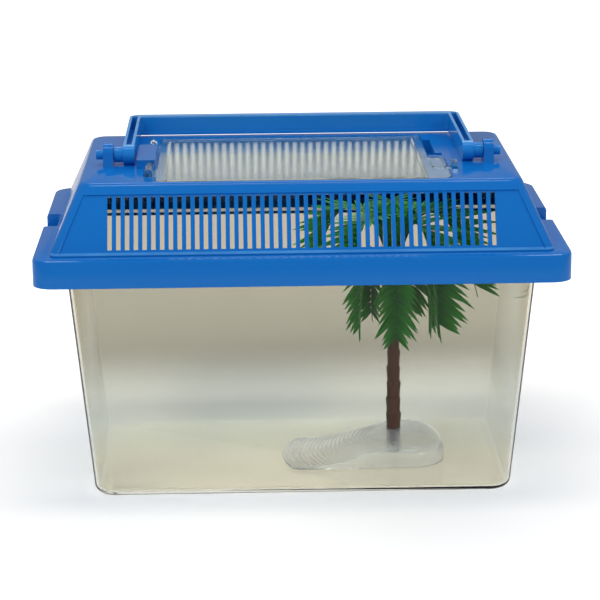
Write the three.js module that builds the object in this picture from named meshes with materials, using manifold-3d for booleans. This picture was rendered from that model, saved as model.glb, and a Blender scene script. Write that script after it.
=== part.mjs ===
// Small animal tank: clear basin, vented blue lid with carry handle and feeding door,
// and a clear island with a ramp and a plastic palm inside. Millimetres, +Z up, X across, Y to the back.
import * as THREE from 'three';
import { mergeVertices } from 'three/addons/utils/BufferGeometryUtils.js';
import Module from 'manifold-3d';

const wasm = await Module();
wasm.setup();

// Clearances
const seatGap = 0.3; // under a piece that rests on another
const lidFit = 0.6; // around the basin lip, inside the lid skirt
const doorGap = 0.6; // around the door and its tabs
const bearingGap = 0.3; // around pins, pegs and along knuckles
const overrun = 2; // how far a cut runs past the face it opens

// Facets round a full turn, or along a curve
const cornerSteps = 6;
const filletSteps = 4;
const pinSides = 20;
const postSides = 24;
const trunkSides = 14;
const collarSides = 18;
const moundSides = 40;
const earSteps = 10;

// Tank basin
const basinBottomWidth = 241;
const basinBottomDepth = 141;
const basinSpread = 12; // each wall leans out by this much up to the ledge
const basinHeight = 144.7;
const basinWall = 2;
const basinFloor = 2.4;
const basinCorner = 12;
const basinFootRound = 5;
const lipReach = 14.5;
const lipRise = 10;
const lipCorner = 9;

// Lid shell
const lidWall = 2.4;
const skirtHeight = 15.7;
const rimEdge = 1.5;
const footInset = 9.5; // flat shelf from the skirt to the foot of the slopes
const footStep = 1;
const footCorner = 5;
const deckRise = 37.1;
const deckInsetAcross = 26;
const deckInsetFront = 31;
const deckInsetBack = 23;
const deckCorner = 8;
const deckEdge = 1.8;

// Grilles in the front and back slopes
const slotCount = 45;
const slotEndMargin = 17; // from the deck's end to the middle of the last slot
const slotWidth = 2.5;
const slotFootMargin = 3.2;
const slotTopMargin = 7.4;
const panelDepth = 0.9;
const panelFootMargin = 1;
const panelTopMargin = 6.6;
const panelSideMargin = 5;

// Finger pockets in the end shelves
const pocketLength = 33;
const pocketShift = 6; // towards the back
const pocketDrop = 7.6;
const pocketWall = 2;
const pocketReach = 7.4;

// Feeding door
const doorFrontMargin = 3; // from the deck's front edge
const doorBackMargin = 12;
const doorRightMargin = 48; // from the deck's end
const doorThickness = 2.2;
const doorCorner = 4;
const seatLip = 3.6;
const seatPlate = 2;
const seatMargin = 3;
const doorFlange = 2;
const doorFlangeWall = 1.4;
const doorFlangeGap = 0.8;

// Door hinge on the left
const hingeOffset = 4.4;
const hingeHeight = 1.8;
const hingeBlockFront = 28.5; // in front of the middle
const hingeBlockLength = 48;
const hingeBlockWidth = 10.6;
const hingeBlockHeight = 5;
const hingeBlockRound = 2;
const hingeEyeWall = 3;
const knuckleRadius = 2.6;
const knuckleLength = 24;
const doorPinRadius = 1.3;
const doorPinLength = 4;

// Door tab, catch and finger well on the right
const tabReach = 9;
const tabLength = 62;
const tabCorner = 7;
const thumbMarkWidth = 8.6;
const thumbMarkLength = 29;
const thumbMarkWall = 1;
const thumbMarkRise = 0.5;
const thumbMarkSetback = 30; // behind the tab's front edge
const thumbMarkRoundShare = 0.9; // of half its width
const lugReach = 5.4;
const lugSetback = 26;
const lugLength = 9;
const lugCorner = 1.6;
const catchWidth = 3.6;
const catchHeight = 4.2;
const catchRound = 0.8;
const notchWidth = 3.8;
const notchLength = 7;
const notchDepth = 1.2;
const notchSetback = 5; // behind the tab
const wellWidth = 4.6;
const wellLength = 48;
const wellDepth = 8;
const wellWall = 1.8;
const wellSetback = 6; // behind the tab

// Carry handle
const handleReach = 98.5; // pivot to the back of the grip
const handleBar = 6.5;
const handleDrum = 5.4; // pivot drum, beside the arm
const handleDrumRadius = 4.5;
const handleHeight = 11.5;
const handleCorner = 7;
const handleInnerCorner = 2.5;
const handleSideGap = 1.4; // beside the hinge block
const channelWall = 1.6;
const channelDepth = 8.6;
const channelSetback = 4.5; // from the back of the grip
const gripLipDepth = 1.3;
const gripLipHeight = 1.6;
const pivotForward = 15.5; // pivots sit this far in front of the middle
const pivotPinRadius = 2.8;
const pivotStub = 4.2; // pin end that shows outside the ear
const earThickness = 5.8;
const earWall = 3.6;
const earMargin = 11; // from the deck's end
const earFootFlare = 2.4;

// Island: a ramp on the left that curves up to a pad on the right
const islandRight = 86;
const islandLeft = 11; // left of the middle
const islandFront = 33.5; // in front of the middle
const rampBack = 25;
const rampCorner = 12;
const padLeft = 40;
const padBack = 35;
const padCorner = 22;
const platformHeight = 12;
const platformReach = 29; // from the trunk line to the first step
const rampSteps = 15;
const rampSlopeShare = 0.25; // of the rise, spread evenly
const rampPower = 4; // bends the rest of it towards the pad
const rampToe = 1.2;
const islandWall = 1.6;
const hollowStride = 3; // ramp steps to each step of the hollow below
const socketWall = 2.4;

// Palm
const palmPlace = 57; // trunk line, right of the middle
const palmBack = 9;
const trunkHeight = 98;
const trunkFootRadius = 4.5;
const trunkTopRadius = 3.1;
const trunkRings = 10;
const scarRise = 0.55;
const scarPeakShare = 0.82; // up each ring of the trunk
const scarEndShare = 0.94;
const pegRadius = 2.3;
const pegLength = 9;
const spindleRadius = 1.5;
const collarRadius = 4.6;
const collarHeight = 3;
const spikeLength = 30;
const spikeRadius = 2.3;
const spikeTipRadius = 0.5;
const spikeSocket = 5;

// Fronds: reach, height and the run of the midrib as shares of them
const upperFronds = 5;
const upperReach = 53;
const upperRise = 38;
const upperRunShares = [[0.19, 0.9], [0.66, 1.35]];
const upperTipShares = [[1.04, -0.45], [0.78, 0.2], [0.88, 0.02], [0.9, 0.1], [0.86, -0.05]];
const upperTurn = 18; // degrees
const lowerFronds = 5;
const lowerReach = 26;
const lowerDrop = 44;
const lowerRunShares = [[0.56, 0.3], [1.05, 0.2]];
const lowerTipShares = [[0.95, -1], [1, -0.9], [0.9, -0.8], [0.92, -0.86], [0.98, -0.94]];
const lowerTurn = -90; // degrees
const frondThickness = 0.9;
const ribHalfWidth = 0.8;
const leafletPitch = 4.9;
const leafletReach = 13.5;
const leafletBladeShare = 0.86;
const leafletSweepShare = 0.85;
const leafletLeanShare = 0.25; // of the pitch, added to the sweep
const leafletFoldShare = 0.42;
const frondStemShare = 0.13;
const frondRootShare = 0.78; // of the collar radius
const leafletSizeShares = [0.55, 0.85, 1, 1, 0.92, 0.75, 0.5];

// Places worked out from the sizes above
const rightAngle = Math.PI / 2;
const basinTopWidth = basinBottomWidth + 2 * basinSpread;
const basinTopDepth = basinBottomDepth + 2 * basinSpread;
const lipWidth = basinTopWidth + 2 * lipReach;
const lipDepth = basinTopDepth + 2 * lipReach;
const ledgeTop = basinHeight - lipRise;
const ledgeUnder = ledgeTop - basinWall;
const lidWidth = lipWidth + 2 * (lidFit + lidWall);
const lidDepth = lipDepth + 2 * (lidFit + lidWall);
const lidCorner = lipCorner + lidFit + lidWall;
const rimTop = basinHeight + seatGap + lidWall;
const skirtBottom = rimTop - skirtHeight;
const footTop = rimTop + footStep;
const deckTop = rimTop + deckRise;
const footWidth = lidWidth - 2 * footInset;
const footDepth = lidDepth - 2 * footInset;
const deckWidth = lidWidth - 2 * deckInsetAcross;
const deckFront = deckInsetFront - lidDepth / 2;
const deckBack = lidDepth / 2 - deckInsetBack;
const slopeRise = deckTop - footTop;
const frontRun = deckFront + footDepth / 2;
const backRun = footDepth / 2 - deckBack;
const slotPitch = (deckWidth - 2 * slotEndMargin) / (slotCount - 1);
const earInside = deckWidth / 2 - earMargin - earThickness;
const handleWidth = 2 * (earInside - bearingGap - handleDrum);
const handleInside = handleWidth / 2 - handleBar;
const doorTop = deckTop;
const doorUnder = doorTop - doorThickness;
const seatTop = doorUnder - seatGap;
const doorFront = deckFront + doorFrontMargin;
const doorBack = deckBack - doorBackMargin;
const hingeLine = handleSideGap + hingeBlockWidth - hingeEyeWall - handleInside;
const doorLeft = hingeLine + hingeOffset;
const doorRight = deckWidth / 2 - doorRightMargin;
const hingeLevel = deckTop + hingeHeight;
const hingeMiddle = hingeBlockLength / 2 - hingeBlockFront;
const knuckleStart = hingeBlockLength / 2 + bearingGap;
const tabRight = doorRight + tabReach;
const lugRight = tabRight + lugReach;
const wellFront = doorFront + tabLength + wellSetback;
const handleUnder = deckTop + seatGap;
const pivotLevel = handleUnder + handleHeight / 2;
const earRadius = pivotPinRadius + bearingGap + earWall;
const gripBack = handleReach - pivotForward;
const platformTop = basinFloor + seatGap + platformHeight;
const trunkTop = platformTop + seatGap + trunkHeight;
const lowerCollar = trunkTop + seatGap;
const upperCollar = lowerCollar + collarHeight + seatGap;
const spikeFoot = upperCollar + collarHeight + seatGap;
const spindleTop = spikeFoot + spikeSocket - bearingGap;

// Closed geometry to solid and back
function toSolid(geometry) {
  geometry.deleteAttribute('normal');
  geometry.deleteAttribute('uv');
  const welded = mergeVertices(geometry);
  const corners = welded.index.array;
  const kept = [];
  for (let i = 0; i < corners.length; i += 3) {
    const [a, b, c] = corners.slice(i, i + 3);
    if (a !== b && b !== c && c !== a) {
      kept.push(a, b, c);
    }
  }
  const vertProperties = Float32Array.from(welded.attributes.position.array);
  const mesh = new wasm.Mesh({ numProp: 3, vertProperties, triVerts: Uint32Array.from(kept) });
  return new wasm.Manifold(mesh);
}

function toGeometry(solid) {
  const { vertProperties, triVerts } = solid.getMesh();
  const geometry = new THREE.BufferGeometry();
  geometry.setAttribute('position', new THREE.BufferAttribute(vertProperties, 3));
  geometry.setIndex(new THREE.BufferAttribute(triVerts, 1));
  geometry.computeVertexNormals();
  return geometry;
}

function joined(solids) {
  return solids.reduce((sum, solid) => sum.add(solid));
}

function cutBy(solid, tools) {
  return tools.reduce((rest, tool) => rest.subtract(tool), solid);
}

// A rounded rectangle as a level ring of points, counter-clockwise from above
function ring(width, depth, radius, level) {
  const points = [];
  const across = width / 2 - radius;
  const deep = depth / 2 - radius;
  const corners = [[1, 1], [-1, 1], [-1, -1], [1, -1]];
  corners.forEach(([sideX, sideY], quarter) => {
    for (let step = 0; step <= cornerSteps; step += 1) {
      const angle = rightAngle * (quarter + step / cornerSteps);
      const x = sideX * across + radius * Math.cos(angle);
      const y = sideY * deep + radius * Math.sin(angle);
      points.push(new THREE.Vector3(x, y, level));
    }
  });
  return points;
}

// Rings joined from the lowest to the last, closed at both ends
function loft(rings) {
  const count = rings[0].length;
  const index = [];
  for (let level = 0; level < rings.length - 1; level += 1) {
    for (let i = 0; i < count; i += 1) {
      const low = level * count;
      const next = (i + 1) % count;
      index.push(low + i, low + next, low + count + next);
      index.push(low + i, low + count + next, low + count + i);
    }
  }
  const contour = rings[0].map((point) => new THREE.Vector2(point.x, point.y));
  const last = (rings.length - 1) * count;
  for (const [a, b, c] of THREE.ShapeUtils.triangulateShape(contour, [])) {
    const turnsLeft = THREE.ShapeUtils.area([contour[a], contour[b], contour[c]]) > 0;
    const [first, second] = turnsLeft ? [b, c] : [c, b];
    index.push(a, second, first);
    index.push(last + a, last + first, last + second);
  }
  const geometry = new THREE.BufferGeometry();
  const flat = rings.flat().flatMap((point) => [point.x, point.y, point.z]);
  geometry.setAttribute('position', new THREE.Float32BufferAttribute(flat, 3));
  geometry.setIndex(index);
  return toSolid(geometry);
}

function box(left, right, front, back, bottom, top) {
  const geometry = new THREE.BoxGeometry(right - left, back - front, top - bottom);
  geometry.translate((left + right) / 2, (front + back) / 2, (bottom + top) / 2);
  return toSolid(geometry);
}

// A level plate with rounded corners
function plate(left, right, front, back, bottom, top, radius) {
  const centre = new THREE.Vector3((left + right) / 2, (front + back) / 2, 0);
  const rings = [bottom, top].map((level) => ring(right - left, back - front, radius, level));
  return loft(rings.map((points) => points.map((point) => point.add(centre))));
}

function rodAcross(radius, left, right, y, z, sides = pinSides) {
  const geometry = new THREE.CylinderGeometry(radius, radius, right - left, sides);
  geometry.rotateZ(rightAngle);
  geometry.translate((left + right) / 2, y, z);
  return toSolid(geometry);
}

function rodDeep(radius, front, back, x, z) {
  const geometry = new THREE.CylinderGeometry(radius, radius, back - front, pinSides);
  geometry.translate(x, (front + back) / 2, z);
  return toSolid(geometry);
}

function rodUp(radius, bottom, top, x, y, sides = postSides) {
  const geometry = new THREE.CylinderGeometry(radius, radius, top - bottom, sides);
  geometry.rotateX(rightAngle);
  geometry.translate(x, y, (bottom + top) / 2);
  return toSolid(geometry);
}

// A mirror image, with the corners of its faces turned round again
function mirrored(solid, sideX, sideY) {
  const geometry = toGeometry(solid);
  geometry.scale(sideX, sideY, 1);
  const corners = Array.from(geometry.index.array);
  geometry.setIndex(corners.reverse());
  return toSolid(geometry);
}

function mirroredAcross(solid) {
  return mirrored(solid, -1, 1);
}

function mirroredDeep(solid) {
  return mirrored(solid, 1, -1);
}

function finished(name, solid, material) {
  const mesh = new THREE.Mesh(toGeometry(solid), material);
  mesh.name = name;
  return mesh;
}

// Materials
function clearPlastic() {
  return new THREE.MeshStandardMaterial({
    color: 0xe4e2da, roughness: 0.08, metalness: 0, transparent: true, opacity: 0.35,
  });
}

function bluePlastic() {
  return new THREE.MeshStandardMaterial({ color: 0x1668ba, roughness: 0.25, metalness: 0 });
}

function trunkPlastic() {
  return new THREE.MeshStandardMaterial({ color: 0x5a2a1c, roughness: 0.6, metalness: 0 });
}

function leafPlastic() {
  return new THREE.MeshStandardMaterial({ color: 0x1f8a35, roughness: 0.5, metalness: 0 });
}

// Basin walls at a height, inset by a wall or a fillet
function basinRing(level, inset, corner) {
  const spread = (2 * basinSpread * Math.min(level, ledgeUnder)) / ledgeUnder;
  const width = basinBottomWidth + spread - 2 * inset;
  const depth = basinBottomDepth + spread - 2 * inset;
  return ring(width, depth, corner - inset, level);
}

function basinFillet(bottom, round, inset) {
  const rings = [];
  for (let step = 0; step <= filletSteps; step += 1) {
    const angle = (rightAngle * step) / filletSteps;
    const level = bottom + round * (1 - Math.cos(angle));
    rings.push(basinRing(level, inset + round * (1 - Math.sin(angle)), basinCorner));
  }
  return rings;
}

function basinSolid() {
  const outside = loft([
    ...basinFillet(0, basinFootRound, 0),
    basinRing(ledgeUnder, 0, basinCorner),
    ring(lipWidth, lipDepth, lipCorner, ledgeUnder),
    ring(lipWidth, lipDepth, lipCorner, basinHeight),
  ]);
  const lipInside = [lipWidth - 2 * basinWall, lipDepth - 2 * basinWall, lipCorner - basinWall];
  const inside = loft([
    ...basinFillet(basinFloor, basinFootRound - basinWall, basinWall),
    basinRing(ledgeTop, basinWall, basinCorner),
    ring(...lipInside, ledgeTop),
    ring(...lipInside, basinHeight + overrun),
  ]);
  const notchHalf = pocketLength / 2 + pocketWall + lidFit;
  const notchInner = lidWidth / 2 - footInset - pocketWall;
  const notch = box(notchInner, lipWidth / 2 + overrun, pocketShift - notchHalf,
    pocketShift + notchHalf, ledgeTop, basinHeight + overrun);
  return cutBy(outside, [inside, notch, mirroredAcross(notch)]);
}

// Outer size of the sloped hood at a height between its foot and the deck
function hoodRing(height, inset) {
  const share = (height - footTop) / slopeRise;
  const width = THREE.MathUtils.lerp(footWidth, deckWidth, share) - 2 * inset;
  const front = THREE.MathUtils.lerp(-footDepth / 2, deckFront, share) + inset;
  const back = THREE.MathUtils.lerp(footDepth / 2, deckBack, share) - inset;
  const corner = THREE.MathUtils.lerp(footCorner, deckCorner, share);
  const level = ring(width, back - front, Math.max(corner - inset, lidWall / 2), height);
  return level.map((point) => point.setY(point.y + (front + back) / 2));
}

function lidOutside() {
  const roundShare = 1 - Math.SQRT1_2;
  const softRim = rimEdge * roundShare;
  const softDeck = deckEdge * roundShare;
  return loft([
    ring(lidWidth, lidDepth, lidCorner, skirtBottom),
    ring(lidWidth, lidDepth, lidCorner, rimTop - rimEdge),
    ring(lidWidth - 2 * softRim, lidDepth - 2 * softRim, lidCorner - softRim, rimTop - softRim),
    ring(lidWidth - 2 * rimEdge, lidDepth - 2 * rimEdge, lidCorner - rimEdge, rimTop),
    ring(footWidth, footDepth, footCorner, rimTop),
    hoodRing(footTop, 0),
    hoodRing(deckTop - deckEdge, 0),
    hoodRing(deckTop - softDeck, softDeck),
    hoodRing(deckTop, deckEdge),
  ]);
}

function lidInside() {
  const across = (lidWall * Math.hypot(slopeRise, frontRun)) / slopeRise;
  const skirt = [lidWidth - 2 * lidWall, lidDepth - 2 * lidWall, lidCorner - lidWall];
  const foot = hoodRing(footTop, across).map((point) => point.setZ(rimTop - lidWall));
  return loft([
    ring(...skirt, skirtBottom - overrun),
    ring(...skirt, rimTop - lidWall),
    foot,
    hoodRing(deckTop - lidWall, across),
  ]);
}

// Tools in the plane of a front slope: x across, y up the slope from its foot, z out of it
function onSlope(geometry, run) {
  geometry.rotateX(Math.atan2(slopeRise, run));
  geometry.translate(0, -footDepth / 2, footTop);
  return toSolid(geometry);
}

function grillePanel(run) {
  const slopeLength = Math.hypot(slopeRise, run);
  const footHalf = footWidth / 2 - panelSideMargin;
  const topHalf = deckWidth / 2 - panelSideMargin;
  const low = panelFootMargin;
  const high = slopeLength - panelTopMargin;
  const halfAt = (up) => THREE.MathUtils.lerp(footHalf, topHalf, up / slopeLength);
  const outline = new THREE.Shape([
    new THREE.Vector2(-halfAt(low), low),
    new THREE.Vector2(halfAt(low), low),
    new THREE.Vector2(halfAt(high), high),
    new THREE.Vector2(-halfAt(high), high),
  ]);
  const geometry = new THREE.ExtrudeGeometry(outline, {
    depth: panelDepth + overrun, bevelEnabled: false, steps: 1,
  });
  geometry.translate(0, 0, -panelDepth);
  return onSlope(geometry, run);
}

function grilleSlot(place, run) {
  const length = Math.hypot(slopeRise, run) - slotFootMargin - slotTopMargin;
  const geometry = new THREE.BoxGeometry(slotWidth, length, 2 * (lidWall + overrun));
  geometry.translate(place, slotFootMargin + length / 2, 0);
  return onSlope(geometry, run);
}

function grilleTools(run) {
  const tools = [grillePanel(run)];
  for (let slot = 0; slot < slotCount; slot += 1) {
    tools.push(grilleSlot((slot - (slotCount - 1) / 2) * slotPitch, run));
  }
  return tools;
}

// Seat under the feeding door, with the hinge side, the tab and the finger well
function doorOutline(grow, bottom, top) {
  const corner = Math.max(doorCorner + grow, lidWall / 2);
  return plate(doorLeft - grow, doorRight + grow, doorFront - grow, doorBack + grow, bottom, top, corner);
}

function tabOutline(grow, bottom, top) {
  const root = doorRight - tabCorner;
  return plate(root - tabCorner, tabRight + grow, doorFront - grow, doorFront + tabLength + grow,
    bottom, top, tabCorner);
}

// Small ear on the tab that carries the catch
function lugOutline(grow, bottom, top) {
  const front = doorFront + lugSetback;
  return plate(tabRight - tabCorner, lugRight + grow, front - grow, front + lugLength + grow,
    bottom, top, lugCorner);
}

function knuckleBay(grow, bottom, top, side) {
  const left = hingeLine - knuckleRadius - grow;
  const near = knuckleStart - bearingGap - grow;
  const far = knuckleStart + knuckleLength + grow;
  const [front, back] = side > 0 ? [near, far] : [-far, -near];
  return box(left, doorLeft + grow + overrun, hingeMiddle + front, hingeMiddle + back, bottom, top);
}

function doorSeat() {
  const bottom = seatTop - seatPlate;
  const top = deckTop - lidWall / 2;
  const wellLeft = doorRight - wellWall;
  const wellRight = doorRight + doorGap + wellWidth + wellWall;
  const wellBottom = deckTop - wellDepth - wellWall;
  return joined([
    doorOutline(doorGap + seatMargin, bottom, top),
    tabOutline(doorGap + seatMargin, bottom, top),
    lugOutline(doorGap + seatMargin, bottom, top),
    knuckleBay(seatMargin, bottom, top, 1),
    knuckleBay(seatMargin, bottom, top, -1),
    box(wellLeft, wellRight, wellFront - wellWall, wellFront + wellLength + wellWall, wellBottom, top),
  ]);
}

function doorSeatCuts() {
  const above = deckTop + overrun;
  const wellRight = doorRight + doorGap + wellWidth;
  const notchLeft = tabRight - notchWidth;
  const notchFront = doorFront + tabLength + notchSetback;
  return [
    doorOutline(doorGap, seatTop, above),
    tabOutline(doorGap, seatTop, above),
    lugOutline(doorGap, seatTop, above),
    knuckleBay(doorGap, seatTop, above, 1),
    knuckleBay(doorGap, seatTop, above, -1),
    doorOutline(-seatLip, seatTop - seatPlate - overrun, above),
    box(doorRight, wellRight, wellFront, wellFront + wellLength, deckTop - wellDepth, above),
    box(notchLeft, notchLeft + notchWidth, notchFront, notchFront + notchLength,
      deckTop - notchDepth, above),
  ];
}

function hingeBlock() {
  const right = hingeLine + hingeEyeWall;
  const left = right - hingeBlockWidth;
  const half = hingeBlockLength / 2;
  const bottom = seatTop - seatPlate;
  return plate(left, right, hingeMiddle - half, hingeMiddle + half, bottom,
    deckTop + hingeBlockHeight, hingeBlockRound);
}

function hingeBores() {
  const half = hingeBlockLength / 2;
  const depth = doorPinLength + bearingGap;
  const radius = doorPinRadius + bearingGap;
  return [
    rodDeep(radius, hingeMiddle + half - depth, hingeMiddle + half + overrun, hingeLine, hingeLevel),
    rodDeep(radius, hingeMiddle - half - overrun, hingeMiddle - half + depth, hingeLine, hingeLevel),
  ];
}

// Ear that carries a handle pivot: a round head on a flared foot, across X
function earSolid() {
  const foot = deckTop - lidWall / 2;
  const shape = new THREE.Shape();
  shape.moveTo(-earRadius - earFootFlare, foot);
  shape.lineTo(earRadius + earFootFlare, foot);
  shape.lineTo(earRadius, pivotLevel);
  shape.absarc(0, pivotLevel, earRadius, 0, Math.PI, false);
  shape.closePath();
  const geometry = new THREE.ExtrudeGeometry(shape, {
    depth: earThickness, bevelEnabled: false, steps: 1, curveSegments: earSteps,
  });
  geometry.rotateX(rightAngle);
  geometry.rotateZ(rightAngle);
  geometry.translate(earInside, -pivotForward, 0);
  const bore = rodAcross(pivotPinRadius + bearingGap, earInside - overrun,
    earInside + earThickness + overrun, -pivotForward, pivotLevel);
  return toSolid(geometry).subtract(bore);
}

// Finger pocket let into an end shelf, open at the top and to the outside
function pocketBody() {
  const half = pocketLength / 2 + pocketWall;
  const outer = lidWidth / 2 - lidWall / 2;
  return box(outer - pocketReach - pocketWall, outer, pocketShift - half, pocketShift + half,
    rimTop - pocketDrop - pocketWall, rimTop - lidWall / 2);
}

function pocketCut() {
  const half = pocketLength / 2;
  const outer = lidWidth / 2 - lidWall / 2;
  return plate(outer - pocketReach, lidWidth / 2 + 2 * overrun, pocketShift - half, pocketShift + half,
    rimTop - pocketDrop, rimTop + footStep / 2, pocketWall);
}

function lidSolid() {
  const ear = earSolid();
  const pocket = pocketBody();
  const pocketOpening = pocketCut();
  const shell = joined([
    lidOutside().subtract(lidInside()),
    doorSeat(),
    pocket,
    mirroredAcross(pocket),
  ]);
  const opened = cutBy(shell, [
    ...doorSeatCuts(),
    pocketOpening,
    mirroredAcross(pocketOpening),
    ...grilleTools(frontRun),
    ...grilleTools(backRun).map(mirroredDeep),
  ]);
  const fitted = joined([opened, hingeBlock(), ear, mirroredAcross(ear)]);
  return cutBy(fitted, hingeBores());
}

// Feeding door with its flange, knuckles, pins, tab, thumb mark and catch
function doorFlangeRing() {
  const grow = -seatLip - doorFlangeGap;
  const bottom = doorUnder - doorFlange;
  const outer = doorOutline(grow, bottom, doorUnder + doorThickness / 2);
  const inner = doorOutline(grow - doorFlangeWall, bottom - overrun, doorUnder);
  return outer.subtract(inner);
}

function doorKnuckle() {
  const start = knuckleStart;
  const end = knuckleStart + knuckleLength;
  return joined([
    rodDeep(knuckleRadius, start, end, hingeLine, hingeLevel),
    rodDeep(doorPinRadius, start - doorPinLength, start + doorPinRadius, hingeLine, hingeLevel),
    box(hingeLine, doorLeft + doorCorner, start, end, doorUnder, doorTop),
  ]);
}

function thumbMark() {
  const centre = doorRight + tabReach / 2;
  const middle = doorFront + thumbMarkSetback + thumbMarkLength / 2;
  const stadium = (inset, bottom, top) => {
    const half = thumbMarkWidth / 2 - inset;
    const reach = thumbMarkLength / 2 - inset;
    return plate(centre - half, centre + half, middle - reach, middle + reach, bottom, top,
      half * thumbMarkRoundShare);
  };
  const outer = stadium(0, doorTop - doorThickness / 2, doorTop + thumbMarkRise);
  return outer.subtract(stadium(thumbMarkWall, doorTop, doorTop + overrun));
}

function doorCatch() {
  const front = doorFront + lugSetback;
  return plate(lugRight - catchWidth, lugRight, front, front + lugLength,
    doorUnder + doorThickness / 2, doorTop + catchHeight, catchRound);
}

function doorSolid() {
  const knuckle = doorKnuckle();
  return joined([
    doorOutline(0, doorUnder, doorTop),
    tabOutline(0, doorUnder, doorTop),
    lugOutline(0, doorUnder, doorTop),
    doorFlangeRing(),
    knuckle.translate(0, hingeMiddle, 0),
    mirroredDeep(knuckle).translate(0, hingeMiddle, 0),
    thumbMark(),
    doorCatch(),
  ]);
}

// Carry handle, folded back on the deck: grip at the back, arms open on top, pins through the ears
function handleSolid() {
  const top = handleUnder + handleHeight;
  const half = handleWidth / 2;
  const gripInside = gripBack - handleBar;
  const front = -pivotForward;
  const bow = plate(-half, half, front - half, gripBack, handleUnder, top, handleCorner);
  const gap = plate(-handleInside, handleInside, front - half, gripInside, handleUnder - overrun,
    top + overrun, handleInnerCorner);
  const ahead = box(-half - overrun, half + overrun, front - half - overrun, front,
    handleUnder - overrun, top + overrun);
  const channelLeft = handleInside + channelWall;
  const channel = box(channelLeft, half - channelWall, front, gripBack - channelSetback,
    top - channelDepth, top + overrun);
  const gripChannel = box(-half + handleBar, half - handleBar, gripInside + channelWall,
    gripBack - channelWall, handleUnder - overrun, handleUnder + channelDepth);
  const gripLip = box(-handleInside - channelWall, handleInside + channelWall, gripInside - gripLipDepth,
    gripInside + channelWall / 2, handleUnder, handleUnder + gripLipHeight);
  const pivot = joined([
    rodAcross(handleHeight / 2, handleInside, half, -pivotForward, pivotLevel, postSides),
    rodAcross(handleDrumRadius, half - channelWall, earInside - bearingGap, -pivotForward, pivotLevel,
      postSides),
    rodAcross(pivotPinRadius, half, earInside + earThickness + pivotStub, -pivotForward, pivotLevel),
  ]);
  const bare = cutBy(bow, [gap, ahead, channel, mirroredAcross(channel), gripChannel]);
  return joined([bare, gripLip, pivot, mirroredAcross(pivot)]);
}

// Island: stepped ramp to the left, pad on the right, open below
function rampPlate(inset, bottom, top) {
  const right = padLeft + padCorner + rampCorner;
  return plate(inset - islandLeft, right, inset - islandFront, rampBack - inset, bottom, top,
    rampCorner - inset);
}

function padPlate(inset, bottom, top) {
  return plate(padLeft + inset, islandRight - inset, inset - islandFront, padBack - inset,
    bottom, top, padCorner - inset);
}

function steppedMound(inset, bottom, drop, stride) {
  const middle = (rampBack - islandFront) / 2;
  const stepRun = (palmPlace + islandLeft - platformReach) / rampSteps;
  const layers = [padPlate(inset, bottom, platformTop - drop)];
  for (let step = 0; step <= rampSteps; step += stride) {
    const reach = platformReach + stepRun * (rampSteps - step) - inset;
    const climb = THREE.MathUtils.lerp((step / rampSteps) ** rampPower, step / rampSteps, rampSlopeShare);
    const top = basinFloor + seatGap + rampToe + (platformHeight - rampToe) * climb - drop;
    if (top > bottom) {
      const disc = rodUp(reach, bottom, top, palmPlace, middle, moundSides);
      layers.push(disc.intersect(rampPlate(inset, bottom, top)));
    }
  }
  return joined(layers);
}

function islandSolid() {
  const foot = basinFloor + seatGap;
  const socketDepth = pegLength + bearingGap;
  const mound = steppedMound(0, foot, 0, 1);
  const hollow = steppedMound(islandWall, foot - overrun, islandWall, hollowStride);
  const boss = rodUp(pegRadius + bearingGap + socketWall, foot, platformTop - islandWall / 2,
    palmPlace, palmBack);
  const socket = rodUp(pegRadius + bearingGap, platformTop - socketDepth, platformTop + overrun,
    palmPlace, palmBack);
  return mound.subtract(hollow).add(boss).subtract(socket);
}

// Palm trunk: rings of leaf scars turned round the trunk line, peg below and spindle above
function trunkSolid() {
  const foot = platformTop + seatGap;
  const scarSpan = trunkHeight / trunkRings;
  const profile = [new THREE.Vector2(0, foot - pegLength), new THREE.Vector2(pegRadius, foot - pegLength)];
  profile.push(new THREE.Vector2(pegRadius, foot));
  for (let scar = 0; scar < trunkRings; scar += 1) {
    const radius = THREE.MathUtils.lerp(trunkFootRadius, trunkTopRadius, scar / (trunkRings - 1));
    const level = foot + scar * scarSpan;
    profile.push(new THREE.Vector2(radius - scarRise / 2, level));
    profile.push(new THREE.Vector2(radius + scarRise, level + scarSpan * scarPeakShare));
    profile.push(new THREE.Vector2(radius, level + scarSpan * scarEndShare));
  }
  profile.push(new THREE.Vector2(trunkTopRadius - scarRise, trunkTop));
  profile.push(new THREE.Vector2(spindleRadius, trunkTop));
  profile.push(new THREE.Vector2(spindleRadius, spindleTop));
  profile.push(new THREE.Vector2(0, spindleTop));
  const geometry = new THREE.LatheGeometry(profile, trunkSides);
  geometry.rotateX(rightAngle);
  geometry.translate(palmPlace, palmBack, 0);
  return toSolid(geometry);
}

function spikeSolid() {
  const profile = [
    new THREE.Vector2(spindleRadius + bearingGap, spikeFoot),
    new THREE.Vector2(spikeRadius, spikeFoot),
    new THREE.Vector2(spikeRadius, spikeFoot + spikeSocket),
    new THREE.Vector2(spikeTipRadius, spikeFoot + spikeLength),
    new THREE.Vector2(0, spikeFoot + spikeLength + spikeTipRadius),
    new THREE.Vector2(0, spikeFoot + spikeSocket),
    new THREE.Vector2(spindleRadius + bearingGap, spikeFoot + spikeSocket),
    new THREE.Vector2(spindleRadius + bearingGap, spikeFoot),
  ];
  const geometry = new THREE.LatheGeometry(profile, trunkSides);
  geometry.rotateX(rightAngle);
  geometry.translate(palmPlace, palmBack, 0);
  return toSolid(geometry);
}

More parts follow.
